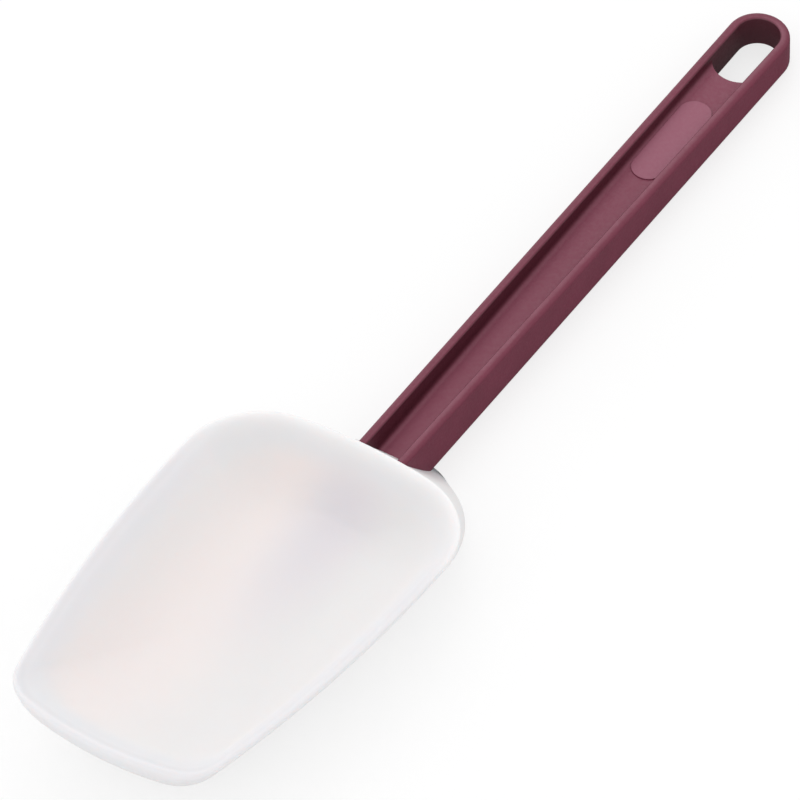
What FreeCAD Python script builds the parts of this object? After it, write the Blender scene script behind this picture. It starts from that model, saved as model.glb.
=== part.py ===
import FreeCAD, Part
import math
import os

import Sketcher

# A spoon spatula in two mouldings: a stiff channelled handle, and a flexible blade moulded over its tang.
# The handle runs along +Y, the bowl of the blade opens towards +Z, and the part lies on Z = 0.

Vector = FreeCAD.Vector
Placement = FreeCAD.Placement
Rotation = FreeCAD.Rotation

# Driving dimensions in millimetres, and three angles in degrees: side_lean, top_slope and rim_tilt
SIZES = {
    "overall_length": 270.0,
    # handle, whose width and height are those of its end: it grows narrower and taller towards the blade
    "handle_width": 14.2,
    "handle_height": 8.3,
    "side_lean": 0.35,
    "top_slope": 1.5,
    "flange_thickness": 2.1,
    "channel_floor": 6.0,
    "web_thickness": 2.8,
    "slot_length": 18.0,
    "slot_end_bulge": 2.2,
    "flange_edge_radius": 1.0,
    "flange_inner_bevel": 0.3,
    "channel_fillet": 1.4,
    "panel_length": 26.0,
    "panel_from_end": 42.0,
    "panel_width": 7.6,
    "panel_height": 0.3,
    # root and tang, hidden in the blade
    "root_depth": 3.0,
    "root_block": 7.0,
    "root_step": 3.0,
    "tang_length": 52.0,
    "tang_width": 18.0,
    "tang_thickness": 3.0,
    "tang_underside": 1.6,
    "tang_corner": 6.0,
    "tang_overlap": 5.0,
    "anchor_diameter": 7.0,
    "anchor_pitch": 15.0,
    "anchor_from_tip": 10.0,
    # rim of the blade, measured in the plane of the rim from the middle of its back edge
    "blade_length": 107.4,
    "blade_width": 66.8,
    "rim_height": 19.6,
    "rim_tilt": 2.8,
    "rim_widest": 25.9,
    "rim_tip_radius": 79.5,
    "rim_side_radius": 360.0,
    "rim_back_radius": 123.0,
    "rim_tip_corner": 10.0,
    "rim_back_corner": 19.9,
    "lip_thickness": 2.0,
    "lip_height": 1.3,
    "lip_edge_bevel": 0.6,
    # flat belly under the blade, measured from the same place
    "belly_reach": 60.0,
    "belly_overhang": 17.0,
    "belly_width": 31.0,
    "belly_widest": 5.0,
    "belly_tip_radius": 30.0,
    "belly_side_radius": 220.0,
    "belly_back_radius": 75.0,
    "belly_tip_corner": 7.0,
    "belly_back_corner": 11.2,
    # flat floor inside the bowl, measured from the same place
    "floor_height": 6.2,
    "floor_setback": 13.0,
    "floor_reach": 50.0,
    "floor_width": 18.0,
    "floor_widest": 24.0,
    "floor_tip_radius": 16.0,
    "floor_side_radius": 150.0,
    "floor_back_radius": 40.0,
    "floor_tip_corner": 5.0,
    "floor_back_corner": 6.0,
    # how far a cutting shape runs past the face that it cuts
    "overrun": 2.0,
}

# How the bowl grows from its bottom to its rim: shares of the height, and at each height the shares of
# the way that the sides, the tip and the back of the outline have gone
OUTER_SHARES = {
    "height": (0.0, 0.06, 0.18, 0.37, 0.66, 1.0),
    "side": (0.0, 0.20, 0.40, 0.59, 0.80, 1.0),
    "tip": (0.0, 0.27, 0.51, 0.73, 0.90, 1.0),
    "back": (0.0, 0.06, 0.18, 0.37, 0.66, 1.0),
}
INNER_SHARES = {
    "height": (0.0, 0.16, 0.48, 1.0),
    "side": (0.0, 0.38, 0.74, 1.0),
    "tip": (0.0, 0.42, 0.78, 1.0),
    "back": (0.0, 0.38, 0.74, 1.0),
}
# The largest part of the channel's least depth that the rounding along its floor may take
CHANNEL_ROUND_SHARE = 0.65
# The largest part of a flange that its rounded outer edge and its bevelled inner edge may take
FLANGE_OUTER_SHARE = 0.65
FLANGE_INNER_SHARE = 0.25
# The largest part of the lip that one of its bevelled edges may take
LIP_BEVEL_SHARE = 0.42
HALF_SHARE = 0.5

ANCHOR_COUNT = 3
NEARLY_EQUAL = 1e-5
FULL_TURN = 2 * math.pi
RIGHT_ANGLE = 90
X_AXIS = Vector(1, 0, 0)
Z_AXIS = Vector(0, 0, 1)

doc = FreeCAD.newDocument("spatula")


class Size:
    """A number together with the formula that gives it from the sheet."""

    def __init__(self, value, formula):
        self.value = value
        self.formula = formula

    def __add__(self, other):
        return Size(self.value + other.value, f"({self.formula} + {other.formula})")

    def __sub__(self, other):
        return Size(self.value - other.value, f"({self.formula} - {other.formula})")

    def __mul__(self, share):
        return Size(self.value * share, f"({self.formula} * {share})")

    def __neg__(self):
        return Size(-self.value, f"(-{self.formula})")

    def at_most(self, other):
        return Size(min(self.value, other.value), f"min({self.formula}; {other.formula})")

    def rise(self, angle):
        """How far a slope climbs over this length."""
        steepness = math.tan(math.radians(angle.value))
        return Size(self.value * steepness, f"({self.formula} * tan({angle.formula} * 1 deg))")

    def along_slope(self, angle):
        """The length on a slope that measures this much on the level."""
        steepness = math.cos(math.radians(angle.value))
        return Size(self.value / steepness, f"({self.formula} / cos({angle.formula} * 1 deg))")


def write_sheet():
    sizes = doc.addObject("Spreadsheet::Sheet", "Sizes")
    for row, (alias, number) in enumerate(SIZES.items(), start=1):
        sizes.set(f"A{row}", alias)
        sizes.set(f"B{row}", str(number))
        sizes.setAlias(f"B{row}", alias)
    doc.recompute()
    return sizes


sheet = write_sheet()


def cell(alias):
    return Size(float(sheet.get(alias)), f"Sizes.{alias}")


def half(size):
    return size * HALF_SHARE


# Places and sizes that several pieces share
ZERO = Size(0.0, "0")
HANDLE_END = half(cell("overall_length"))
RIM_BACK = cell("blade_length") - half(cell("overall_length"))
HANDLE_ROOT = RIM_BACK - cell("root_depth")
END_CENTRE = HANDLE_END - half(cell("handle_width"))
CHANNEL_WIDTH = cell("handle_width") - cell("flange_thickness") * 2
WEB_TOP = cell("channel_floor")
WEB_BOTTOM = WEB_TOP - cell("web_thickness")
BLANK_HEIGHT = cell("handle_height") + cell("overall_length").rise(cell("top_slope"))
TOP_AT_ORIGIN = cell("handle_height") + HANDLE_END.rise(cell("top_slope"))


def new_sketch(body, name, level, tilt=None, place=RIM_BACK):
    """A sketch at a height, moved along Y to a place and tilted there where it has a tilt."""
    sketch = body.newObject("Sketcher::SketchObject", name)
    plane = [item for item in body.Origin.OriginFeatures if item.Role == "XY_Plane"][0]
    sketch.AttachmentSupport = [(plane, "")]
    sketch.MapMode = "FlatFace"
    if tilt is None:
        sketch.AttachmentOffset = Placement(Vector(0, 0, level.value), Rotation())
    else:
        turn = Rotation(X_AXIS, -tilt.value)
        sketch.AttachmentOffset = Placement(Vector(0, place.value, level.value), turn)
        sketch.setExpression("AttachmentOffset.Base.y", place.formula)
        if tilt.value:
            sketch.setExpression("AttachmentOffset.Rotation.Angle", (-tilt).formula)
    sketch.setExpression("AttachmentOffset.Base.z", level.formula)
    return sketch


def drive(sketch, name, size, kind, *geometry):
    """One dimension of a sketch, bound to the sheet."""
    index = sketch.addConstraint(Sketcher.Constraint(kind, *geometry, size.value))
    sketch.renameConstraint(index, name)
    sketch.setExpression(f"Constraints.{name}", size.formula)


def add_line(sketch, start, end):
    return sketch.addGeometry(Part.LineSegment(start, end))


def add_arc(sketch, centre, start, end):
    """An arc about a centre, counter-clockwise from one point to another."""
    from_angle = math.atan2(start.y - centre.y, start.x - centre.x)
    to_angle = math.atan2(end.y - centre.y, end.x - centre.x)
    if to_angle < from_angle:
        to_angle += FULL_TURN
    circle = Part.Circle(centre, Z_AXIS, start.distanceToPoint(centre))
    return sketch.addGeometry(Part.ArcOfCircle(circle, from_angle, to_angle))


def join(sketch, kind, first, second):
    """Joins the end of one curve of a sketch to the start of the next."""
    sketch.addConstraint(Sketcher.Constraint(kind, first, 2, second, 1))


def on_middle(sketch, curve):
    """Puts the centre of an arc on the sketch's Y axis."""
    sketch.addConstraint(Sketcher.Constraint("PointOnObject", curve, 3, -2))


def upright(sketch, *lines):
    for line in lines:
        sketch.addConstraint(Sketcher.Constraint("Vertical", line))


def lean(sketch, side):
    """Leans a side of the handle outwards, from its near end up to the round end."""
    angle = cell("side_lean")
    upward = sketch.addConstraint(Sketcher.Constraint("Angle", side, math.radians(RIGHT_ANGLE - angle.value)))
    sketch.renameConstraint(upward, "lean")
    sketch.setExpression("Constraints.lean", f"({RIGHT_ANGLE} - {angle.formula}) * 1 deg")


def mirrored(point):
    return Vector(-point.x, point.y, point.z)


def draw_bar(sketch, start, width):
    """A leaning-sided bar along Y, square at its start and round about the centre of the handle's end."""
    edge = width.value * HALF_SHARE
    near = Vector(edge - (END_CENTRE - start).rise(cell("side_lean")).value, start.value)
    far = Vector(edge, END_CENTRE.value)
    centre = Vector(0, END_CENTRE.value)
    base = add_line(sketch, mirrored(near), near)
    right = add_line(sketch, near, far)
    end = add_arc(sketch, centre, far, mirrored(far))
    left = add_line(sketch, mirrored(far), mirrored(near))
    join(sketch, "Coincident", base, right)
    join(sketch, "Tangent", right, end)
    join(sketch, "Tangent", end, left)
    join(sketch, "Coincident", left, base)
    sketch.addConstraint(Sketcher.Constraint("Symmetric", base, 1, base, 2, -2))
    lean(sketch, right)
    on_middle(sketch, end)
    drive(sketch, "end_radius", half(width), "Radius", end)
    drive(sketch, "end_centre", END_CENTRE, "DistanceY", -1, 1, end, 3)
    drive(sketch, "start", start, "DistanceY", -1, 1, base, 1)


def draw_slot(sketch):
    """The hanging slot: as wide as the channel, with a shallow curve at its near end."""
    edge = CHANNEL_WIDTH.value * HALF_SHARE
    far_reach = half(CHANNEL_WIDTH)
    slot_near = END_CENTRE + far_reach - cell("slot_length")
    bulge = cell("slot_end_bulge")
    straight = END_CENTRE - slot_near - bulge
    near = Vector(edge - straight.rise(cell("side_lean")).value, slot_near.value + bulge.value)
    far = Vector(edge, END_CENTRE.value)
    near_radius = (near.x ** 2 + bulge.value ** 2) / (2 * bulge.value)
    near_end = add_arc(sketch, Vector(0, slot_near.value + near_radius), mirrored(near), near)
    right = add_line(sketch, near, far)
    end = add_arc(sketch, Vector(0, END_CENTRE.value), far, mirrored(far))
    left = add_line(sketch, mirrored(far), mirrored(near))
    lowest = sketch.addGeometry(Part.Point(Vector(0, slot_near.value)), True)
    join(sketch, "Coincident", near_end, right)
    join(sketch, "Tangent", right, end)
    join(sketch, "Tangent", end, left)
    join(sketch, "Coincident", left, near_end)
    sketch.addConstraint(Sketcher.Constraint("Symmetric", near_end, 1, near_end, 2, -2))
    lean(sketch, right)
    on_middle(sketch, end)
    sketch.addConstraint(Sketcher.Constraint("PointOnObject", lowest, 1, -2))
    sketch.addConstraint(Sketcher.Constraint("PointOnObject", lowest, 1, near_end))
    drive(sketch, "end_radius", half(CHANNEL_WIDTH), "Radius", end)
    drive(sketch, "end_centre", END_CENTRE, "DistanceY", -1, 1, end, 3)
    drive(sketch, "near_end", slot_near, "DistanceY", -1, 1, lowest, 1)
    drive(sketch, "bulge", bulge, "DistanceY", lowest, 1, near_end, 2)


def draw_panel(sketch):
    """The label panel: a bar with two round ends."""
    edge = cell("panel_width").value * HALF_SHARE
    middle = HANDLE_END - cell("panel_from_end")
    spread = half(cell("panel_length") - cell("panel_width"))
    low = middle - spread
    high = middle + spread
    low_right = Vector(edge, low.value)
    high_right = Vector(edge, high.value)
    low_end = add_arc(sketch, Vector(0, low.value), mirrored(low_right), low_right)
    right = add_line(sketch, low_right, high_right)
    high_end = add_arc(sketch, Vector(0, high.value), high_right, mirrored(high_right))
    left = add_line(sketch, mirrored(high_right), mirrored(low_right))
    curves = (low_end, right, high_end, left)
    for index, curve in enumerate(curves):
        join(sketch, "Tangent", curve, curves[(index + 1) % len(curves)])
    on_middle(sketch, low_end)
    on_middle(sketch, high_end)
    sketch.addConstraint(Sketcher.Constraint("Equal", low_end, high_end))
    drive(sketch, "end_radius", half(cell("panel_width")), "Radius", low_end)
    drive(sketch, "low_centre", low, "DistanceY", -1, 1, low_end, 3)
    drive(sketch, "high_centre", high, "DistanceY", -1, 1, high_end, 3)


def draw_tang(sketch):
    """The tang: a plate with two round corners at its tip."""
    corner = cell("tang_corner")
    edge = cell("tang_width").value * HALF_SHARE
    tip = HANDLE_ROOT - cell("tang_length")
    back = HANDLE_ROOT + cell("tang_overlap")
    tip_right = Vector(edge - corner.value, tip.value)
    side_right = Vector(edge, tip.value + corner.value)
    corner_centre = Vector(tip_right.x, side_right.y)
    back_right = Vector(edge, back.value)
    tip_line = add_line(sketch, mirrored(tip_right), tip_right)
    right_corner = add_arc(sketch, corner_centre, tip_right, side_right)
    right = add_line(sketch, side_right, back_right)
    back_line = add_line(sketch, back_right, mirrored(back_right))
    left = add_line(sketch, mirrored(back_right), mirrored(side_right))
    left_corner = add_arc(sketch, mirrored(corner_centre), mirrored(side_right), mirrored(tip_right))
    join(sketch, "Tangent", tip_line, right_corner)
    join(sketch, "Tangent", right_corner, right)
    join(sketch, "Coincident", right, back_line)
    join(sketch, "Coincident", back_line, left)
    join(sketch, "Tangent", left, left_corner)
    join(sketch, "Tangent", left_corner, tip_line)
    sketch.addConstraint(Sketcher.Constraint("Horizontal", tip_line))
    upright(sketch, right, left)
    sketch.addConstraint(Sketcher.Constraint("Equal", right_corner, left_corner))
    sketch.addConstraint(Sketcher.Constraint("Symmetric", left, 1, right, 2, -2))
    drive(sketch, "corner", corner, "Radius", right_corner)
    drive(sketch, "width", cell("tang_width"), "DistanceX", left, 1, right, 2)
    drive(sketch, "tip", tip, "DistanceY", -1, 1, tip_line, 1)
    drive(sketch, "back", back, "DistanceY", -1, 1, right, 2)


def draw_anchor(sketch):
    """The anchoring hole nearest to the tang's tip."""
    place = HANDLE_ROOT - cell("tang_length") + cell("anchor_from_tip")
    radius = half(cell("anchor_diameter"))
    circle = sketch.addGeometry(Part.Circle(Vector(0, place.value), Z_AXIS, radius.value))
    on_middle(sketch, circle)
    drive(sketch, "radius", radius, "Radius", circle)
    drive(sketch, "place", place, "DistanceY", -1, 1, circle, 3)


def inside_both(first, first_radius, second, second_radius, upper):
    """Where two circles cross: the upper or the lower of the two places."""
    gap = second - first
    distance = gap.Length
    along = (distance ** 2 + first_radius ** 2 - second_radius ** 2) / (2 * distance)
    across = math.sqrt(first_radius ** 2 - along ** 2)
    foot = first + gap * (along / distance)
    step = Vector(-gap.y, gap.x) * (across / distance)
    places = sorted((foot + step, foot - step), key=lambda place: place.y)
    return places[-1] if upper else places[0]


def touch(centre, radius, corner_centre):
    """Where a corner arc touches the larger arc that it runs into."""
    return centre + (corner_centre - centre).normalize() * radius


def draw_outline(sketch, outline):
    """A closed outline of eight arcs: tip, sides and back, with a round corner between each two."""
    tip_centre = outline["tip"] + outline["tip_radius"]
    back_centre = outline["back"] - outline["back_radius"]
    side_centre = outline["half_width"] - outline["side_radius"]
    tip_middle = Vector(0, tip_centre.value)
    back_middle = Vector(0, back_centre.value)
    side_middle = Vector(side_centre.value, outline["widest"].value)
    tip_radius = outline["tip_radius"].value
    side_radius = outline["side_radius"].value
    back_radius = outline["back_radius"].value

    def corner_centre(middle, radius, corner, upper):
        return inside_both(middle, radius - corner, side_middle, side_radius - corner, upper)

    tip_turn = corner_centre(tip_middle, tip_radius, outline["tip_corner"].value, False)
    back_turn = corner_centre(back_middle, back_radius, outline["back_corner"].value, True)
    tip_end = touch(tip_middle, tip_radius, tip_turn)
    side_start = touch(side_middle, side_radius, tip_turn)
    side_end = touch(side_middle, side_radius, back_turn)
    back_start = touch(back_middle, back_radius, back_turn)

    tip = add_arc(sketch, tip_middle, mirrored(tip_end), tip_end)
    right_tip = add_arc(sketch, tip_turn, tip_end, side_start)
    right = add_arc(sketch, side_middle, side_start, side_end)
    right_back = add_arc(sketch, back_turn, side_end, back_start)
    back = add_arc(sketch, back_middle, back_start, mirrored(back_start))
    left_back = add_arc(sketch, mirrored(back_turn), mirrored(back_start), mirrored(side_end))
    left = add_arc(sketch, mirrored(side_middle), mirrored(side_end), mirrored(side_start))
    left_tip = add_arc(sketch, mirrored(tip_turn), mirrored(side_start), mirrored(tip_end))
    curves = (tip, right_tip, right, right_back, back, left_back, left, left_tip)
    for index, curve in enumerate(curves):
        join(sketch, "Tangent", curve, curves[(index + 1) % len(curves)])
    on_middle(sketch, tip)
    on_middle(sketch, back)
    sketch.addConstraint(Sketcher.Constraint("Symmetric", right, 3, left, 3, -2))
    for first, second in ((right, left), (right_tip, left_tip), (right_back, left_back)):
        sketch.addConstraint(Sketcher.Constraint("Equal", first, second))
    drive(sketch, "tip_radius", outline["tip_radius"], "Radius", tip)
    drive(sketch, "back_radius", outline["back_radius"], "Radius", back)
    drive(sketch, "side_radius", outline["side_radius"], "Radius", right)
    drive(sketch, "tip_corner", outline["tip_corner"], "Radius", right_tip)
    drive(sketch, "back_corner", outline["back_corner"], "Radius", right_back)
    drive(sketch, "tip_centre", tip_centre, "DistanceY", -1, 1, tip, 3)
    drive(sketch, "back_centre", back_centre, "DistanceY", -1, 1, back, 3)
    drive(sketch, "side_centre", side_centre, "DistanceX", -1, 1, right, 3)
    drive(sketch, "widest", outline["widest"], "DistanceY", -1, 1, right, 3)


def named_outline(name, tip, back):
    """An outline whose widths and radii are sizes of the sheet with one first word."""
    radii = ("tip_radius", "side_radius", "back_radius", "tip_corner", "back_corner")
    outline = {radius: cell(f"{name}_{radius}") for radius in radii}
    outline["tip"] = tip
    outline["back"] = back
    outline["widest"] = -cell(f"{name}_widest")
    return outline


def blended(first, second, share):
    """A size part of the way from one to another."""
    return first + (second - first) * share


def grown(bottom, top, shares):
    """An outline part of the way from one to another, with a share for its sides, its tip and its back."""
    keys = {
        "side": ("half_width", "widest", "side_radius"),
        "tip": ("tip", "tip_radius", "tip_corner"),
        "back": ("back", "back_radius", "back_corner"),
    }
    return {key: blended(bottom[key], top[key], shares[part]) for part in keys for key in keys[part]}


def add_pad(body, name, sketch, length):
    pad = body.newObject("PartDesign::Pad", name)
    pad.Profile = sketch
    pad.setExpression("Length", length.formula)
    return pad


def add_pocket(body, name, sketch, length, upwards=False):
    pocket = body.newObject("PartDesign::Pocket", name)
    pocket.Profile = sketch
    pocket.Reversed = upwards
    pocket.setExpression("Length", length.formula)
    return pocket


def edge_names(base, chosen):
    """The names of those edges of a feature that a test picks out."""
    doc.recompute()
    return [f"Edge{place}" for place, edge in enumerate(base.Shape.Edges, start=1) if chosen(edge)]


def round_edges(body, name, base, radius, chosen):
    names = edge_names(base, chosen)
    fillet = body.newObject("PartDesign::Fillet", name)
    fillet.Base = (base, names)
    fillet.setExpression("Radius", radius.formula)
    return fillet


def bevel_edges(body, name, base, size, chosen):
    names = edge_names(base, chosen)
    chamfer = body.newObject("PartDesign::Chamfer", name)
    chamfer.Base = (base, names)
    chamfer.setExpression("Size", size.formula)
    return chamfer


def is_level(edge, level):
    """True for an edge that lies flat at a height."""
    box = edge.BoundBox
    return abs(box.ZMin - level.value) < NEARLY_EQUAL and abs(box.ZMax - level.value) < NEARLY_EQUAL


def middle_of(edge):
    return edge.valueAt((edge.FirstParameter + edge.LastParameter) * HALF_SHARE)


def on_top(edge):
    """True for an edge in the sloping top of the handle."""
    slope = math.tan(math.radians(cell("top_slope").value))
    points = [middle_of(edge)] + [vertex.Point for vertex in edge.Vertexes]
    return all(abs(TOP_AT_ORIGIN.value - point.y * slope - point.z) < NEARLY_EQUAL for point in points)


def runs_along(edge):
    """True for an edge that runs along the handle or round its end, not across it."""
    middle = middle_of(edge)
    return abs(middle.x) > NEARLY_EQUAL or middle.y > END_CENTRE.value


def is_outer(edge):
    """True for an edge nearer to the outside of a flange than to its inside."""
    middle = middle_of(edge)
    beyond = middle.y - END_CENTRE.value
    narrowing = max(-beyond, 0) * math.tan(math.radians(cell("side_lean").value))
    reach = math.hypot(middle.x, max(beyond, 0)) + narrowing
    return reach > (half(cell("handle_width")) - half(cell("flange_thickness"))).value


def make_handle():
    body = doc.addObject("PartDesign::Body", "handle_body")
    body.Label = "handle"

    bar = new_sketch(body, "bar_outline", ZERO)
    draw_bar(bar, HANDLE_ROOT, cell("handle_width"))
    add_pad(body, "bar", bar, BLANK_HEIGHT)
    trim = new_sketch(body, "top_outline", TOP_AT_ORIGIN, cell("top_slope"), ZERO)
    draw_bar(trim, HANDLE_ROOT - cell("overrun"), cell("handle_width") + cell("overrun") * 2)
    add_pocket(body, "sloping_top", trim, BLANK_HEIGHT, True)

    top_start = HANDLE_ROOT + cell("root_block")
    bottom_start = RIM_BACK + cell("belly_overhang") + cell("root_step")
    top_channel = new_sketch(body, "top_channel_outline", BLANK_HEIGHT)
    draw_bar(top_channel, top_start, CHANNEL_WIDTH)
    add_pocket(body, "top_channel", top_channel, BLANK_HEIGHT - WEB_TOP)
    bottom_channel = new_sketch(body, "bottom_channel_outline", ZERO)
    draw_bar(bottom_channel, bottom_start, CHANNEL_WIDTH)
    cut = add_pocket(body, "bottom_channel", bottom_channel, WEB_BOTTOM, True)
    least_depth = (cell("handle_height") - WEB_TOP).at_most(WEB_BOTTOM)
    channel_round = cell("channel_fillet").at_most(least_depth * CHANNEL_ROUND_SHARE)
    round_edges(
        body, "channel_corners", cut, channel_round,
        lambda edge: is_level(edge, WEB_TOP) or is_level(edge, WEB_BOTTOM),
    )

    slot = new_sketch(body, "slot_outline", BLANK_HEIGHT)
    draw_slot(slot)
    cut = add_pocket(body, "hanging_slot", slot, BLANK_HEIGHT + cell("overrun"))

    def on_outside(edge):
        return runs_along(edge) and (on_top(edge) or is_level(edge, ZERO))

    outer_round = cell("flange_edge_radius").at_most(cell("flange_thickness") * FLANGE_OUTER_SHARE)
    inner_bevel = cell("flange_inner_bevel").at_most(cell("flange_thickness") * FLANGE_INNER_SHARE)
    rounded = round_edges(
        body, "outer_edges", cut, outer_round,
        lambda edge: on_outside(edge) and is_outer(edge),
    )
    bevel_edges(
        body, "inner_edges", rounded, inner_bevel,
        lambda edge: on_outside(edge) and not is_outer(edge),
    )

    panel = new_sketch(body, "panel_outline", WEB_TOP)
    draw_panel(panel)
    add_pad(body, "label_panel", panel, cell("panel_height"))

    tang = new_sketch(body, "tang_outline", cell("tang_underside"))
    draw_tang(tang)
    add_pad(body, "tang", tang, cell("tang_thickness"))

    anchor = new_sketch(body, "anchor_outline", cell("tang_underside") - cell("overrun"))
    draw_anchor(anchor)
    hole = add_pocket(body, "anchor_hole", anchor, cell("tang_thickness") + cell("overrun") * 2, True)
    doc.recompute()
    row = body.newObject("PartDesign::LinearPattern", "anchor_holes")
    row.Originals = [hole]
    row.Direction = (anchor, ["V_Axis"])
    row.Occurrences = ANCHOR_COUNT
    row.setExpression("Length", (cell("anchor_pitch") * (ANCHOR_COUNT - 1)).formula)
    body.Tip = row
    return body


def add_bowl(body, kind, name, bottom, top, levels, shares):
    """A bowl lofted through outlines that grow from its bottom to its top."""
    sketches = []
    for place, height_share in enumerate(shares["height"]):
        rise = blended(*levels, height_share)
        sketch = new_sketch(body, f"{name}_outline_{place}", rise, cell("rim_tilt") * height_share)
        draw_outline(sketch, grown(bottom, top, {part: column[place] for part, column in shares.items()}))
        sketches.append(sketch)
    loft = body.newObject(kind, name)
    loft.Profile = sketches[0]
    loft.Sections = sketches[1:]
    return loft


def make_blade(handle):
    body = doc.addObject("PartDesign::Body", "blade_form")
    lip = cell("lip_thickness")

    rim = named_outline("rim", -cell("blade_length").along_slope(cell("rim_tilt")), ZERO)
    rim["half_width"] = half(cell("blade_width"))
    belly = named_outline("belly", -cell("belly_reach"), cell("belly_overhang"))
    belly["half_width"] = half(cell("belly_width"))
    floor = named_outline("floor", -cell("floor_reach"), -cell("floor_setback"))
    floor["half_width"] = half(cell("floor_width"))
    mouth = {key: size - lip for key, size in rim.items()}
    mouth["tip"] = rim["tip"] + lip
    mouth["widest"] = rim["widest"]

    lip_foot = cell("rim_height") - cell("lip_height")
    levels = (ZERO, lip_foot)
    outer = add_bowl(body, "PartDesign::AdditiveLoft", "outer_bowl", belly, rim, levels, OUTER_SHARES)
    outer.Ruled = True
    lip_outline = new_sketch(body, "lip_outline", lip_foot, cell("rim_tilt"))
    draw_outline(lip_outline, rim)
    add_pad(body, "lip", lip_outline, cell("lip_height"))
    levels = (cell("floor_height"), cell("rim_height") + cell("overrun"))
    hollow = add_bowl(body, "PartDesign::SubtractiveLoft", "inner_bowl", floor, mouth, levels, INNER_SHARES)

    tilt = math.radians(cell("rim_tilt").value)
    rim_normal = Vector(0, math.sin(tilt), math.cos(tilt))
    rim_place = Vector(0, RIM_BACK.value, lip_foot.value) + rim_normal * cell("lip_height").value

    def in_rim_plane(edge):
        points = [middle_of(edge)] + [vertex.Point for vertex in edge.Vertexes]
        return all(abs((point - rim_place).dot(rim_normal)) < NEARLY_EQUAL for point in points)

    lip_bevel = cell("lip_edge_bevel").at_most(lip * LIP_BEVEL_SHARE)
    bevel_edges(body, "lip_edges", hollow, lip_bevel, in_rim_plane)

    blade = doc.addObject("Part::Cut", "blade_piece")
    blade.Label = "blade"
    blade.Base = body
    blade.Tool = handle
    return blade


def check(pieces):
    for item in doc.Objects:
        if "Invalid" in item.State or "Error" in item.State:
            raise RuntimeError(f"{item.Name} did not compute: {item.State}")
    for piece in pieces:
        shape = piece.Shape
        if shape.isNull() or not shape.isValid():
            raise RuntimeError(f"{piece.Label} has no valid shape")
        if len(shape.Solids) != 1:
            raise RuntimeError(f"{piece.Label} is {len(shape.Solids)} solids, not one")


handle_piece = make_handle()
blade_piece = make_blade(handle_piece)
doc.recompute()
check((handle_piece, blade_piece))

os.makedirs("parts", exist_ok=True)
for piece in (handle_piece, blade_piece):
    piece.Shape.exportStep(f"parts/{piece.Label}.step")
    print(piece.Label, "volume", round(piece.Shape.Volume), "mm3")
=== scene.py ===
import math

import bpy
import numpy as np
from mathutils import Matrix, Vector


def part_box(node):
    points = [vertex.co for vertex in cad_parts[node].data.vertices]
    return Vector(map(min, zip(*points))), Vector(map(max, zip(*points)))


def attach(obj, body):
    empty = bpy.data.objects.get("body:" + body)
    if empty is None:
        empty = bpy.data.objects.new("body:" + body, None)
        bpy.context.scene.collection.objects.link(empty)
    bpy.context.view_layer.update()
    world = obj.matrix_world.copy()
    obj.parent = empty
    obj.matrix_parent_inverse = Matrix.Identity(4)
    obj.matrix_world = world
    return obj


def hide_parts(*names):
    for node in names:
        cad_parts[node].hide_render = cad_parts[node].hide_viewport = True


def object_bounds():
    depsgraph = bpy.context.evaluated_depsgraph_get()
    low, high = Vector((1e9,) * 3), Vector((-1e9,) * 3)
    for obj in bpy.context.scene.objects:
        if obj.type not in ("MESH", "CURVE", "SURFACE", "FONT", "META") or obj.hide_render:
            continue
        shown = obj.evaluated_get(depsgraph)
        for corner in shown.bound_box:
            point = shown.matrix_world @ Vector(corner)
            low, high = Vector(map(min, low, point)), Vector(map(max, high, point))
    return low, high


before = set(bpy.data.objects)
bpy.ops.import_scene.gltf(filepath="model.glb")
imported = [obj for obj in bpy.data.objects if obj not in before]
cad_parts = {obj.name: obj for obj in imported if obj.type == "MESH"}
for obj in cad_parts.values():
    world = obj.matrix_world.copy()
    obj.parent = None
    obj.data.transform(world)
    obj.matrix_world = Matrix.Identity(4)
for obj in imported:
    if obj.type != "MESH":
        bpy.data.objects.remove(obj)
cad_low, cad_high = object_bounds()

# Lengths are in metres, so that sizes are written in millimetres times MM
MM = 0.001
blade_low, blade_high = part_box("blade")

# The rim of the scoop, measured in its own plane from the middle of its back edge
BLADE_LENGTH = 107.4 * MM
RIM_HEIGHT = 19.6 * MM
RIM_TILT = math.radians(2.8)
LIP_THICKNESS = 2.0 * MM
LIP_HEIGHT = 1.3 * MM
LIP_ROUNDING = 0.6 * MM
FLOOR_HEIGHT = 6.2 * MM
BELLY_LIFT = 0.05 * MM
RIM_BACK = blade_low.y + BLADE_LENGTH

RIM = {
    "half_width": blade_high.x,
    "widest": -25.9 * MM,
    "tip": -BLADE_LENGTH / math.cos(RIM_TILT),
    "back": 0.0,
    "tip_radius": 79.5 * MM,
    "side_radius": 360.0 * MM,
    "back_radius": 123.0 * MM,
    "tip_corner": 10.0 * MM,
    "back_corner": 19.9 * MM,
}
BELLY = {
    "half_width": 15.5 * MM,
    "widest": -5.0 * MM,
    "tip": -60.0 * MM,
    "back": 17.0 * MM,
    "tip_radius": 30.0 * MM,
    "side_radius": 220.0 * MM,
    "back_radius": 75.0 * MM,
    "tip_corner": 7.0 * MM,
    "back_corner": 11.2 * MM,
}
FLOOR = {
    "half_width": 9.0 * MM,
    "widest": -24.0 * MM,
    "tip": -50.0 * MM,
    "back": -13.0 * MM,
    "tip_radius": 16.0 * MM,
    "side_radius": 150.0 * MM,
    "back_radius": 40.0 * MM,
    "tip_corner": 5.0 * MM,
    "back_corner": 6.0 * MM,
}
OUTLINE_PARTS = {
    "side": ("half_width", "widest", "side_radius"),
    "tip": ("tip", "tip_radius", "tip_corner"),
    "back": ("back", "back_radius", "back_corner"),
}

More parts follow.
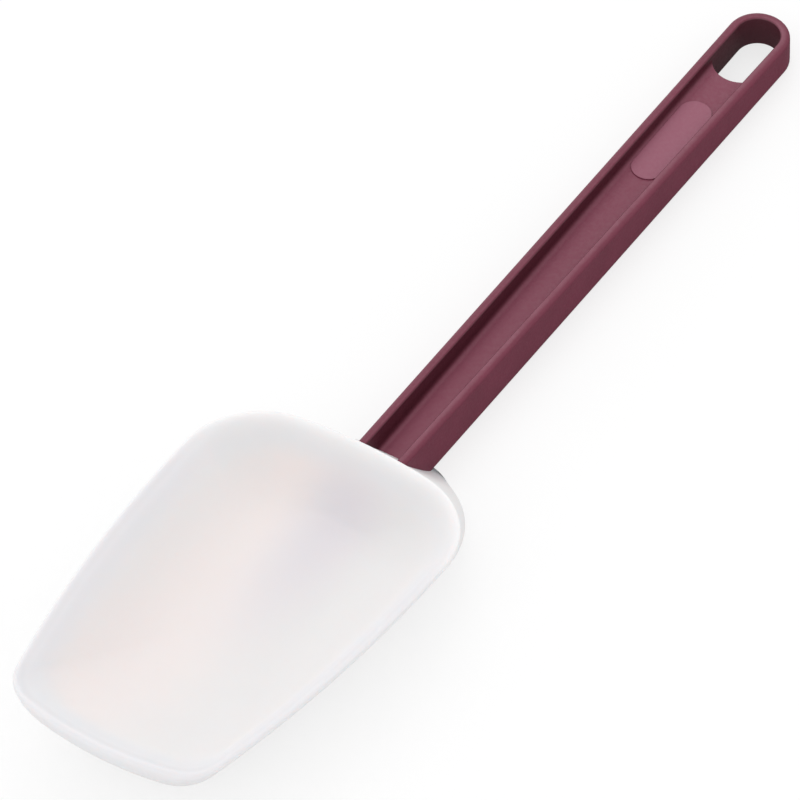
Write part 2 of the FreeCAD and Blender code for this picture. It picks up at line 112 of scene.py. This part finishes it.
# How finely the scoop is divided
TIP_STEPS = 14
CORNER_STEPS = 14
SIDE_STEPS = 28
BACK_STEPS = 14
WALL_RINGS = 26
LIP_STEPS = 5
ROLL_STEPS = 10
# The power that brings the rings of a wall closer together towards its foot
RING_POWER = 2
# Shares of the two flat ends that their inner rings take
CAP_SHARES = (0.12, 0.35, 0.6, 0.82, 0.94)

# Powers that give the walls their curves: larger ones bring a wall out sooner above its foot
OUTER_SIDE_POWER = 1.9
OUTER_TIP_POWER = 0.6
BACK_SOFT_SHARE = 0.12
INNER_SIDE_POWER = 2.2
INNER_TIP_POWER = 2.6
# How much rounder the inside's tip corners are half way out than at its foot and its rim
CORNER_SOFTENING = 8.0 * MM
# The share of the inside's height where the roll of the lip runs into the wall
ROLL_SHARE = 0.74


def crossing(first, first_radius, second, second_radius, upper):
    """Where two circles cross: the upper or the lower of the two places."""
    gap = second - first
    distance = np.linalg.norm(gap)
    along = (distance ** 2 + first_radius ** 2 - second_radius ** 2) / (2 * distance)
    across = math.sqrt(first_radius ** 2 - along ** 2)
    foot = first + gap * along / distance
    step = np.array((-gap[1], gap[0])) * across / distance
    return max(foot + step, foot - step, key=lambda place: place[1] if upper else -place[1])


def arc(centre, radius, towards, until, steps):
    """Points along an arc, from the direction of one point to just before that of another."""
    start = math.atan2(*(towards - centre)[::-1])
    end = math.atan2(*(until - centre)[::-1])
    angles = start + (end - start) * np.arange(steps) / steps
    return centre + radius * np.stack((np.cos(angles), np.sin(angles)), axis=1)


def outline(sizes):
    """Points round a closed outline of eight arcs, counter-clockwise from the middle of its tip."""
    tip_centre = np.array((0.0, sizes["tip"] + sizes["tip_radius"]))
    back_centre = np.array((0.0, sizes["back"] - sizes["back_radius"]))
    side_centre = np.array((sizes["half_width"] - sizes["side_radius"], sizes["widest"]))

    def corner_centre(centre, radius, corner, upper):
        return crossing(centre, radius - corner, side_centre, sizes["side_radius"] - corner, upper)

    def pushed(centre, through, radius):
        return centre + (through - centre) / np.linalg.norm(through - centre) * radius

    tip_turn = corner_centre(tip_centre, sizes["tip_radius"], sizes["tip_corner"], False)
    back_turn = corner_centre(back_centre, sizes["back_radius"], sizes["back_corner"], True)
    tip_middle = np.array((0.0, sizes["tip"]))
    tip_end = pushed(tip_centre, tip_turn, sizes["tip_radius"])
    side_start = pushed(side_centre, tip_turn, sizes["side_radius"])
    side_end = pushed(side_centre, back_turn, sizes["side_radius"])
    back_start = pushed(back_centre, back_turn, sizes["back_radius"])
    back_middle = np.array((0.0, sizes["back"]))
    right = np.concatenate((
        arc(tip_centre, sizes["tip_radius"], tip_middle, tip_end, TIP_STEPS),
        arc(tip_turn, sizes["tip_corner"], tip_end, side_start, CORNER_STEPS),
        arc(side_centre, sizes["side_radius"], side_start, side_end, SIDE_STEPS),
        arc(back_turn, sizes["back_corner"], side_end, back_start, CORNER_STEPS),
        arc(back_centre, sizes["back_radius"], back_start, back_middle, BACK_STEPS),
    ))
    left = right[:0:-1] * (-1, 1)
    return np.concatenate((right, back_middle[None], left))


def blended(first, second, shares):
    """An outline's sizes part of the way to another's, with a share for its sides, tip and back."""
    return {
        key: first[key] + (second[key] - first[key]) * shares[part]
        for part, keys in OUTLINE_PARTS.items() for key in keys
    }


def inset(sizes, distance):
    """An outline's sizes moved inwards all round."""
    moved = {key: size - distance for key, size in sizes.items()}
    moved["tip"] = sizes["tip"] + distance
    moved["widest"] = sizes["widest"]
    return moved


def ring(sizes, level, tilt, rise=0.0):
    """An outline at a height, tilted about its back edge and raised along its own normal."""
    points = outline(sizes)
    along = points[:, 1]
    return np.stack((
        points[:, 0],
        RIM_BACK + along * math.cos(tilt) + rise * math.sin(tilt),
        level - along * math.sin(tilt) + rise * math.cos(tilt),
    ), axis=1)


def outer_shares(height):
    """How far the outside has grown at a share of its height: round sides and tip, a straight back."""
    reach = math.hypot(1, BACK_SOFT_SHARE) - BACK_SOFT_SHARE
    return {
        "side": height ** (1 / OUTER_SIDE_POWER),
        "tip": math.sqrt(1 - (1 - height) ** (1 / OUTER_TIP_POWER)),
        "back": math.sqrt((height * reach + BACK_SOFT_SHARE) ** 2 - BACK_SOFT_SHARE ** 2),
    }


def outer_wall():
    """Rings up the outside, from the edge of the belly to the foot of the lip."""
    foot = RIM_HEIGHT - LIP_HEIGHT
    rings = []
    for step in range(WALL_RINGS + 1):
        height = (step / WALL_RINGS) ** RING_POWER
        sizes = blended(BELLY, RIM, outer_shares(height))
        level = BELLY_LIFT + (foot - BELLY_LIFT) * height
        rings.append(ring(sizes, level, RIM_TILT * height))
    return rings


def lip_edge():
    """Rings up the face of the lip and over its rounded outer edge."""
    rings = []
    for step in range(LIP_STEPS + 1):
        turn = math.pi / 2 * step / LIP_STEPS
        inwards = LIP_ROUNDING * (1 - math.cos(turn))
        rise = LIP_HEIGHT - LIP_ROUNDING * (1 - math.sin(turn))
        rings.append(ring(inset(RIM, inwards), RIM_HEIGHT - LIP_HEIGHT, RIM_TILT, rise))
    return rings


def inner_ring(height):
    """The inside at a share of its height above the floor."""
    side = height ** (1 / INNER_SIDE_POWER)
    tip = height ** (1 / INNER_TIP_POWER)
    sizes = blended(FLOOR, inset(RIM, LIP_THICKNESS), {"side": side, "tip": tip, "back": side})
    # A curve that is nothing at both ends and one half way
    swell = 4 * side * (1 - side)
    sizes["tip_corner"] += CORNER_SOFTENING * swell
    return ring(sizes, FLOOR_HEIGHT + (RIM_HEIGHT - FLOOR_HEIGHT) * height, RIM_TILT * height)


def lip_roll(start):
    """Rings along a soft curve from the top of the lip down into the wall."""
    corner = inner_ring(1)
    end = inner_ring(ROLL_SHARE)
    places = [step / ROLL_STEPS for step in range(1, ROLL_STEPS + 1)]
    return [start * (1 - t) ** 2 + corner * 2 * t * (1 - t) + end * t ** 2 for t in places]


def blade_rings():
    """Rings from the edge of the belly over the lip to the edge of the floor inside."""
    rings = outer_wall() + lip_edge()
    rings += lip_roll(rings[-1])
    for step in reversed(range(WALL_RINGS)):
        rings.append(inner_ring(ROLL_SHARE * (step / WALL_RINGS) ** RING_POWER))
    return rings


def capped(rings):
    """The rings with smaller ones inside the first and the last, which close the two flat ends."""
    first_middle = rings[0].mean(axis=0)
    last_middle = rings[-1].mean(axis=0)
    start = [first_middle + (rings[0] - first_middle) * share for share in CAP_SHARES]
    end = [last_middle + (rings[-1] - last_middle) * share for share in reversed(CAP_SHARES)]
    return start + rings + end


def skin(name, rings):
    """A closed mesh through rings of equally many points, with a point in the middle of each end."""
    count = len(rings[0])
    points = [tuple(point) for one in rings for point in one]
    first_middle = len(points)
    last_middle = first_middle + 1
    points += [tuple(rings[0].mean(axis=0)), tuple(rings[-1].mean(axis=0))]
    faces = []
    for place in range(len(rings) - 1):
        low = place * count
        high = low + count
        for column in range(count):
            beside = (column + 1) % count
            faces.append((low + column, low + beside, high + beside, high + column))
    last = (len(rings) - 1) * count
    for column in range(count):
        beside = (column + 1) % count
        faces.append((first_middle, beside, column))
        faces.append((last_middle, last + column, last + beside))
    mesh = bpy.data.meshes.new(name)
    mesh.from_pydata(points, [], faces)
    mesh.polygons.foreach_set("use_smooth", [True] * len(faces))
    mesh.validate()
    mesh.update()
    piece = bpy.data.objects.new(name, mesh)
    bpy.context.scene.collection.objects.link(piece)
    return piece


# The values between which most of a noise lies
NOISE_LOW = 0.3
NOISE_HIGH = 0.7
# How many sizes of spots are laid over each other in patches, and in finer grain and clouds
PATCH_DETAIL = 3.0
GRAIN_DETAIL = 2.0


class Shading:
    """The nodes of a material or of the world, with short ways to add to them."""

    def __init__(self, owner):
        owner.use_nodes = True
        self.nodes = owner.node_tree.nodes
        self.links = owner.node_tree.links

    def add(self, kind, **sockets):
        """A node with values on the sockets named, where a space is written as an underscore."""
        node = self.nodes.new(kind)
        for name, value in sockets.items():
            node.inputs[name.replace("_", " ")].default_value = value
        return node

    def coordinates(self, kind):
        """A vector that the surface or the sky has at each place, and its three parts."""
        place = self.add("ShaderNodeTexCoord")
        parts = self.add("ShaderNodeSeparateXYZ")
        self.links.new(place.outputs[kind], parts.inputs["Vector"])
        return place.outputs[kind], parts.outputs["X"], parts.outputs["Y"], parts.outputs["Z"]

    def ramp(self, source, zero_at, one_at):
        """A smooth step from nothing to one between two values of a number."""
        step = self.add("ShaderNodeMapRange", From_Min=zero_at, From_Max=one_at)
        step.interpolation_type = "SMOOTHSTEP"
        self.links.new(source, step.inputs["Value"])
        return step.outputs["Result"]

    def calculate(self, operation, *sources):
        """A sum, product or other reckoning with outputs of nodes and with numbers."""
        node = self.add("ShaderNodeMath")
        node.operation = operation
        for socket, source in zip(node.inputs, sources):
            if isinstance(source, (int, float)):
                socket.default_value = source
            else:
                self.links.new(source, socket)
        return node.outputs["Value"]

    def product(self, *sources):
        result = sources[0]
        for source in sources[1:]:
            result = self.calculate("MULTIPLY", result, source)
        return result

    def tinted(self, share, first, second):
        """A colour between two, each a colour or the output of a node."""
        mix = self.add("ShaderNodeMix")
        mix.data_type = "RGBA"
        self.links.new(share, mix.inputs["Factor"])
        for name, colour in (("A", first), ("B", second)):
            socket = [one for one in mix.inputs if one.name == name and one.type == "RGBA"][0]
            if isinstance(colour, tuple):
                socket.default_value = (*colour, 1)
            else:
                self.links.new(colour, socket)
        return [one for one in mix.outputs if one.type == "RGBA"][0]

    def noise(self, place, scale, detail):
        cloud = self.add("ShaderNodeTexNoise", Scale=scale, Detail=detail)
        self.links.new(place, cloud.inputs["Vector"])
        return cloud.outputs["Fac"]

    def spread(self, source, low, high):
        """A noise spread over a span of values."""
        span = self.add(
            "ShaderNodeMapRange",
            From_Min=NOISE_LOW, From_Max=NOISE_HIGH, To_Min=low, To_Max=high,
        )
        self.links.new(source, span.inputs["Value"])
        return span.outputs["Result"]

    def surface(self, colour, place, finish):
        """The material's shader with a colour, and with a fine grain in its roughness and its bump."""
        shader = self.nodes["Principled BSDF"]
        self.links.new(colour, shader.inputs["Base Color"])
        grain = self.noise(place, finish["grain_scale"], GRAIN_DETAIL)
        self.links.new(self.spread(grain, *finish["roughness"]), shader.inputs["Roughness"])
        bump = self.add("ShaderNodeBump", Strength=finish["bump"], Distance=finish["grain_depth"])
        self.links.new(grain, bump.inputs["Height"])
        self.links.new(bump.outputs["Normal"], shader.inputs["Normal"])
        shader.inputs["IOR"].default_value = finish["ior"]
        shader.inputs["Specular IOR Level"].default_value = finish["specular"]
        return shader


# The handle's outside at its round end, from where it grows narrower and taller towards the blade
END_HALF_WIDTH = 7.1 * MM
END_HEIGHT = 8.3 * MM
SIDE_LEAN = math.radians(0.35)
TOP_SLOPE = math.radians(1.5)
HANDLE_END = cad_high.y
END_CENTRE = HANDLE_END - END_HALF_WIDTH
# The channel between the flanges, with its bevelled edges, its web and the hanging slot at its end
CHANNEL_HALF_WIDTH = 5.0 * MM
INNER_BEVEL = 0.3 * MM
WEB_TOP = 6.0 * MM
SLOT_START = 117.3 * MM
# The label panel on the web
PANEL_MIDDLE = 93.0 * MM
PANEL_HALF_LENGTH = 13.0 * MM
PANEL_HALF_WIDTH = 3.8 * MM
PANEL_FOOT = 6.05 * MM
PANEL_TOP = 6.25 * MM
ABOVE_PANEL = 6.6 * MM

# How softly the plastic's colours run into each other, and the web's into the walls beside it
SOFT_EDGE = 0.4 * MM
WEB_FADE = 1.0 * MM
# Painted light: the web grows paler from here towards the blade, which lifts the shade it has beside the
# blade
WEB_PALE_START = 60.0 * MM
WEB_PALE_FULL = -20.0 * MM
# Painted highlights in patches: the left flange is paler along its outer edge, and the right one along
# its inner edge, the edges that face the light
HIGHLIGHT_WIDTH = 1.1 * MM
HIGHLIGHT_CORE = 0.2 * MM
INNER_HIGHLIGHT_WIDTH = 1.6 * MM
HIGHLIGHT_SHARES = (0.35, 0.75)

# The plastic's colours, and the size of its mottling, patches of painted highlight and grain as spots per
# metre
MAROON_DARK = (0.136, 0.007, 0.032)
MAROON_LIGHT = (0.157, 0.010, 0.039)
# Painted shade: a darker maroon on the walls of the channel and the slot, where shade falls
CHANNEL_SHADE_COLOUR = (0.072, 0.003, 0.014)
# Painted light: the web is paler than the flanges, which lifts the shade in the channel
WEB_LIGHT_COLOUR = (0.200, 0.031, 0.066)
WEB_ROOT_LIGHT_COLOUR = (0.240, 0.044, 0.084)
PANEL_COLOUR = (0.280, 0.075, 0.123)
# Painted highlight: a paler maroon on the edges that face the light
HIGHLIGHT_COLOUR = (0.230, 0.070, 0.105)
MOTTLE_SCALE = 120.0
HIGHLIGHT_SCALE = 200.0
PLASTIC_FINISH = {
    "grain_scale": 1400.0,
    "grain_depth": 0.1 * MM,
    "bump": 0.25,
    "roughness": (0.52, 0.64),
    "ior": 1.46,
    "specular": 0.75,
}


def handle_place(tree, x, y, z):
    """How far out and how high a place lies on the handle, with its lean and its slope taken off."""
    before_end = tree.calculate("SUBTRACT", END_CENTRE, y)
    on_straight = tree.calculate("MAXIMUM", before_end, 0.0)
    past_centre = tree.calculate("MINIMUM", before_end, 0.0)
    square = tree.calculate("MULTIPLY_ADD", past_centre, past_centre, tree.product(x, x))
    reach = tree.calculate("SQRT", square)
    outwards = tree.calculate("MULTIPLY_ADD", on_straight, math.tan(SIDE_LEAN), reach)
    past_end = tree.calculate("SUBTRACT", y, HANDLE_END)
    upwards = tree.calculate("MULTIPLY_ADD", past_end, math.tan(TOP_SLOPE), z)
    return outwards, upwards


def painted_edge_highlights(tree, place, x, outwards, upwards):
    """How much painted highlight the plastic has, in patches: along the edges that face left, towards the
    light.
    """
    inner_edge = CHANNEL_HALF_WIDTH + INNER_BEVEL
    outer = tree.product(
        tree.ramp(outwards, END_HALF_WIDTH - HIGHLIGHT_WIDTH, END_HALF_WIDTH - HIGHLIGHT_CORE),
        tree.ramp(upwards, END_HEIGHT - HIGHLIGHT_WIDTH, END_HEIGHT - HIGHLIGHT_CORE),
        tree.ramp(x, CHANNEL_HALF_WIDTH, -CHANNEL_HALF_WIDTH),
    )
    inner = tree.product(
        tree.ramp(outwards, CHANNEL_HALF_WIDTH + INNER_HIGHLIGHT_WIDTH, inner_edge),
        tree.ramp(upwards, END_HEIGHT - INNER_BEVEL, END_HEIGHT - INNER_BEVEL / 2),
        tree.ramp(x, -CHANNEL_HALF_WIDTH, CHANNEL_HALF_WIDTH),
    )
    patches = tree.spread(tree.noise(place, HIGHLIGHT_SCALE, PATCH_DETAIL), *HIGHLIGHT_SHARES)
    return tree.product(tree.calculate("MAXIMUM", outer, inner), patches)


def painted_channel_shade(tree, y, z, outwards, upwards):
    """Where shade is painted on the walls of the channel and of the hanging slot."""
    above_web = tree.ramp(z, WEB_TOP, WEB_TOP + WEB_FADE)
    in_slot = tree.ramp(y, SLOT_START - SOFT_EDGE, SLOT_START)
    return tree.product(
        tree.ramp(outwards, CHANNEL_HALF_WIDTH + INNER_BEVEL, CHANNEL_HALF_WIDTH),
        tree.calculate("MAXIMUM", above_web, in_slot),
        tree.ramp(upwards, END_HEIGHT, END_HEIGHT - INNER_BEVEL),
    )


def label_panel(tree, across, y, z):
    """Where the top of the label panel is."""
    along = tree.calculate("ABSOLUTE", tree.calculate("SUBTRACT", y, PANEL_MIDDLE))
    return tree.product(
        tree.ramp(along, PANEL_HALF_LENGTH + SOFT_EDGE, PANEL_HALF_LENGTH - SOFT_EDGE),
        tree.ramp(across, PANEL_HALF_WIDTH + SOFT_EDGE, PANEL_HALF_WIDTH - SOFT_EDGE),
        tree.ramp(z, PANEL_FOOT, PANEL_TOP),
        tree.ramp(z, ABOVE_PANEL + SOFT_EDGE, ABOVE_PANEL),
    )


def plastic():
    """Stiff maroon moulded plastic with a satin grain, paler on the panel; painted light on the web,
    painted highlights on edges and painted shade on the channel's walls.
    """
    material = bpy.data.materials.new("maroon_plastic")
    tree = Shading(material)
    place, x, y, z = tree.coordinates("Object")
    across = tree.calculate("ABSOLUTE", x)
    outwards, upwards = handle_place(tree, x, y, z)
    # Where light is painted on the web
    web = tree.product(
        tree.ramp(across, CHANNEL_HALF_WIDTH + SOFT_EDGE, CHANNEL_HALF_WIDTH - SOFT_EDGE),
        tree.ramp(z, WEB_TOP - SOFT_EDGE, WEB_TOP),
        tree.ramp(z, WEB_TOP + WEB_FADE, WEB_TOP),
    )
    light_towards_blade = tree.ramp(y, WEB_PALE_START, WEB_PALE_FULL)
    channel_shade = painted_channel_shade(tree, y, z, outwards, upwards)
    panel = label_panel(tree, across, y, z)
    edge_highlight = painted_edge_highlights(tree, place, x, outwards, upwards)
    mottle = tree.spread(tree.noise(place, MOTTLE_SCALE, PATCH_DETAIL), 0.0, 1.0)
    colour = tree.tinted(mottle, MAROON_DARK, MAROON_LIGHT)
    # Painted light on the web, paler towards the blade
    colour = tree.tinted(web, colour, tree.tinted(light_towards_blade, WEB_LIGHT_COLOUR, WEB_ROOT_LIGHT_COLOUR))
    # Painted shade on the walls of the channel and the slot
    colour = tree.tinted(channel_shade, colour, CHANNEL_SHADE_COLOUR)
    colour = tree.tinted(panel, colour, PANEL_COLOUR)
    # Painted highlights on the edges that face the light
    colour = tree.tinted(edge_highlight, colour, HIGHLIGHT_COLOUR)
    tree.surface(colour, place, PLASTIC_FINISH)
    return material


# Where the tang shows through the floor of the bowl, with painted shade of the bowl's deep back over it,
# strongest at the root of the handle
TANG_SHADE_TIP = -94.0 * MM
TANG_SHADE_ROOT = -42.0 * MM
TANG_SHADE_REACH = 15.0 * MM
TANG_SHADE_FULL = 8.0 * MM
TANG_SHADE_TOP = 19.0 * MM
# Where warm light is painted on the bowl: low on its left side, between two fades
WARM_START = 10.0 * MM
WARM_FULL = -12.0 * MM
WARM_FADING = -15.0 * MM
WARM_END = -30.0 * MM
# How far below the rim the lip's painted shade fades out, and the bowl's painted shade is full
LIP_FADE = 7.0 * MM
BOWL_DEPTH = 9.0 * MM
# How far before the back of the rim the painted light at the back starts, and is full
BACK_START = 32.0 * MM
BACK_FULL = 6.0 * MM
# How far up a surface has to face to count as the inside of the bowl
INSIDE_FACING = 0.3

# The silicone's colours, with painted light and shade among them, and the size of its clouding and grain
# as spots per metre
# Painted shade: a grey on the lip's top edge, and a lighter grey on the lip below it
EDGE_SHADE_GREY = (0.695, 0.695, 0.715)
LIP_SHADE_GREY = (0.752, 0.752, 0.770)
WALL_WHITE = (0.795, 0.792, 0.802)
# Painted shade: a darker, warmer white deep in the bowl
BOWL_SHADE_WHITE = (0.775, 0.762, 0.760)
# Painted light: a warm white low on the bowl's left side
WARM_LIGHT_WHITE = (0.822, 0.768, 0.756)
# Painted light: a paler white near the back of the rim, which lifts the lip's painted shade there
BACK_LIGHT_WHITE = (0.776, 0.773, 0.778)
CLOUD_WHITE = (0.690, 0.680, 0.705)
# Partly the tang showing through, partly painted shade in the deep back of the bowl
TANG_SHADE = (0.722, 0.693, 0.718)
CLOUD_SCALE = 60.0
CLOUD_SHARE = 0.06
SILICONE_FINISH = {
    "grain_scale": 900.0,
    "grain_depth": 0.1 * MM,
    "bump": 0.05,
    "roughness": (0.58, 0.68),
    "ior": 1.41,
    "specular": 0.25,
}
# How far light spreads below the surface, with the share of that for red, green and blue
SCATTER_REACH = 2.5 * MM
SCATTER_SHARES = (1.0, 0.85, 0.8)


def height_in_rim(tree, y, z):
    """The height above the tilted plane of the rim."""
    slope = math.tan(RIM_TILT)
    tilted = tree.calculate("MULTIPLY_ADD", y, slope, z)
    return tree.calculate("SUBTRACT", tilted, RIM_HEIGHT + RIM_BACK * slope)


def silicone():
    """White silicone: painted shade greyer at the lip and darker deep in the bowl, painted warm light on
    the bowl's left side and paler light near the back, and darker where the tang shows through and shade
    is painted over it.
    """
    material = bpy.data.materials.new("white_silicone")
    tree = Shading(material)
    place, x, y, z = tree.coordinates("Object")
    facing_up = tree.coordinates("Normal")[3]
    level = height_in_rim(tree, y, z)
    # Where shade is painted deep in the bowl
    bowl = tree.ramp(level, 0.0, -BOWL_DEPTH)
    warm_light = tree.product(
        bowl,
        tree.ramp(x, WARM_START, WARM_FULL),
        tree.ramp(x, WARM_END, WARM_FADING),
        tree.ramp(facing_up, 0.0, INSIDE_FACING),
        tree.ramp(y, RIM_BACK, RIM_BACK - LIP_FADE),
    )
    # Where shade is painted below the rim and on the lip's top edge
    lip_shade = tree.ramp(level, -LIP_FADE, -LIP_HEIGHT)
    edge_shade = tree.ramp(level, -LIP_HEIGHT, 0.0)
    back = tree.product(
        tree.ramp(y, RIM_BACK - BACK_START, RIM_BACK - BACK_FULL),
        tree.ramp(level, -BOWL_DEPTH, -LIP_HEIGHT),
    )
    cloud = tree.spread(tree.noise(place, CLOUD_SCALE, GRAIN_DETAIL), 0.0, CLOUD_SHARE)
    tang_and_shade = tree.product(
        tree.ramp(tree.calculate("ABSOLUTE", x), TANG_SHADE_REACH, 0.0),
        tree.ramp(y, TANG_SHADE_TIP, TANG_SHADE_ROOT),
        tree.ramp(z, TANG_SHADE_TOP, TANG_SHADE_FULL),
    )
    # Painted shade deep in the bowl
    colour = tree.tinted(bowl, WALL_WHITE, BOWL_SHADE_WHITE)
    # Painted warm light on the bowl's left side
    colour = tree.tinted(warm_light, colour, WARM_LIGHT_WHITE)
    # Painted shade on the lip and on its top edge
    colour = tree.tinted(lip_shade, colour, LIP_SHADE_GREY)
    colour = tree.tinted(edge_shade, colour, EDGE_SHADE_GREY)
    # Painted light near the back of the rim
    colour = tree.tinted(back, colour, BACK_LIGHT_WHITE)
    colour = tree.tinted(cloud, colour, CLOUD_WHITE)
    # The tang showing through, with painted shade in the deep back of the bowl
    colour = tree.tinted(tang_and_shade, colour, TANG_SHADE)
    shader = tree.surface(colour, place, SILICONE_FINISH)
    shader.inputs["Subsurface Weight"].default_value = 1.0
    shader.inputs["Subsurface Radius"].default_value = SCATTER_SHARES
    shader.inputs["Subsurface Scale"].default_value = SCATTER_REACH
    return material


# The floor, which glows a little to the eye, so that shadows on it stay faint
FLOOR_REACH = 12.0
FLOOR_PAINT = (0.92, 0.92, 0.92, 1)
FLOOR_ROUGHNESS = 0.9
FLOOR_SPECULAR = 0.1
FLOOR_GLOW_SHARE = 0.7
WHITE = (1.0, 1.0, 1.0, 1)

# The light: an even sky, darker below the horizon, and two large lamps high behind and in front
SKY_STRENGTH = 0.96
GROUND_STRENGTH = 0.25
HORIZON = 0.1
LAMP_SIZE = 1.2
LAMP_POWER = 4.0
BACK_LAMP_PLACE = (-0.66, 1.0, 1.34)
FRONT_LAMP_PLACE = (-0.1, -1.2, 1.3)


def floor_paint():
    """Matt pale paint."""
    material = bpy.data.materials.new("pale_floor")
    tree = Shading(material)
    shader = tree.nodes["Principled BSDF"]
    shader.inputs["Base Color"].default_value = FLOOR_PAINT
    shader.inputs["Roughness"].default_value = FLOOR_ROUGHNESS
    shader.inputs["Specular IOR Level"].default_value = FLOOR_SPECULAR
    path = tree.add("ShaderNodeLightPath")
    seen = tree.product(path.outputs["Is Camera Ray"], FLOOR_GLOW_SHARE)
    glow = tree.add("ShaderNodeEmission", Color=WHITE)
    both = tree.add("ShaderNodeMixShader")
    tree.links.new(seen, both.inputs["Fac"])
    tree.links.new(shader.outputs["BSDF"], both.inputs[1])
    tree.links.new(glow.outputs["Emission"], both.inputs[2])
    tree.links.new(both.outputs["Shader"], tree.nodes["Material Output"].inputs["Surface"])
    return material


def make_floor():
    """A wide square on the surface that the spatula lies on."""
    corners = [(x * FLOOR_REACH, y * FLOOR_REACH, 0) for x, y in ((-1, -1), (1, -1), (1, 1), (-1, 1))]
    mesh = bpy.data.meshes.new("floor")
    mesh.from_pydata(corners, [], [(0, 1, 2, 3)])
    mesh.materials.append(floor_paint())
    floor = bpy.data.objects.new("floor", mesh)
    floor.location.z = cad_low.z
    floor.visible_glossy = False
    bpy.context.scene.collection.objects.link(floor)


def make_sky():
    """A white sky whose strength follows the height of the direction looked in."""
    world = bpy.data.worlds.new("studio")
    tree = Shading(world)
    height = tree.coordinates("Object")[3]
    strength = tree.add(
        "ShaderNodeMapRange",
        From_Min=-HORIZON, From_Max=HORIZON, To_Min=GROUND_STRENGTH, To_Max=SKY_STRENGTH,
    )
    background = tree.nodes["Background"]
    tree.links.new(height, strength.inputs["Value"])
    tree.links.new(strength.outputs["Result"], background.inputs["Strength"])
    background.inputs["Color"].default_value = WHITE
    bpy.context.scene.world = world
    bpy.context.scene.view_settings.view_transform = "Standard"


def make_lamp(name, place):
    """A large round lamp that shines on the middle of the spatula."""
    light = bpy.data.lights.new(name, "AREA")
    light.shape = "DISK"
    light.size = LAMP_SIZE
    light.energy = LAMP_POWER
    lamp = bpy.data.objects.new(name, light)
    lamp.location = place
    middle = (cad_low + cad_high) / 2
    lamp.rotation_euler = (middle - Vector(place)).to_track_quat("-Z", "Y").to_euler()
    lamp.visible_camera = False
    bpy.context.scene.collection.objects.link(lamp)


# The camera looks from the right of the scoop's tip, from far away, as in the photograph
AZIMUTH = math.radians(33.17)
ELEVATION = math.radians(48.14)
CAMERA_DISTANCE = 6.0
FRAME_WIDTH = 173.0 * MM
AIM_POINT = Vector((0, 0, 8.0 * MM))
AIM_LEFT = 8.31 * MM
AIM_UP = 0.12 * MM


def make_camera():
    """The camera, aimed a little to the left of the spatula's middle."""
    right = Vector((math.cos(AZIMUTH), math.sin(AZIMUTH), 0))
    back = Vector((
        math.sin(AZIMUTH) * math.cos(ELEVATION),
        -math.cos(AZIMUTH) * math.cos(ELEVATION),
        math.sin(ELEVATION),
    ))
    up = back.cross(right)
    aim = AIM_POINT - right * AIM_LEFT + up * AIM_UP
    camera = bpy.data.cameras.new("camera")
    camera.lens = camera.sensor_width * CAMERA_DISTANCE / FRAME_WIDTH
    eye = bpy.data.objects.new("camera", camera)
    eye.location = aim + back * CAMERA_DISTANCE
    eye.rotation_euler = back.to_track_quat("Z", "Y").to_euler()
    bpy.context.scene.collection.objects.link(eye)
    bpy.context.scene.camera = eye


blade = skin("silicone_blade", capped(blade_rings()))
blade.data.materials.append(silicone())
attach(blade, "root")
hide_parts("blade")

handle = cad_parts["handle"]
handle.material_slots[0].material = plastic()

make_floor()
make_sky()
make_lamp("back_lamp", BACK_LAMP_PLACE)
make_lamp("front_lamp", FRONT_LAMP_PLACE)
make_camera()
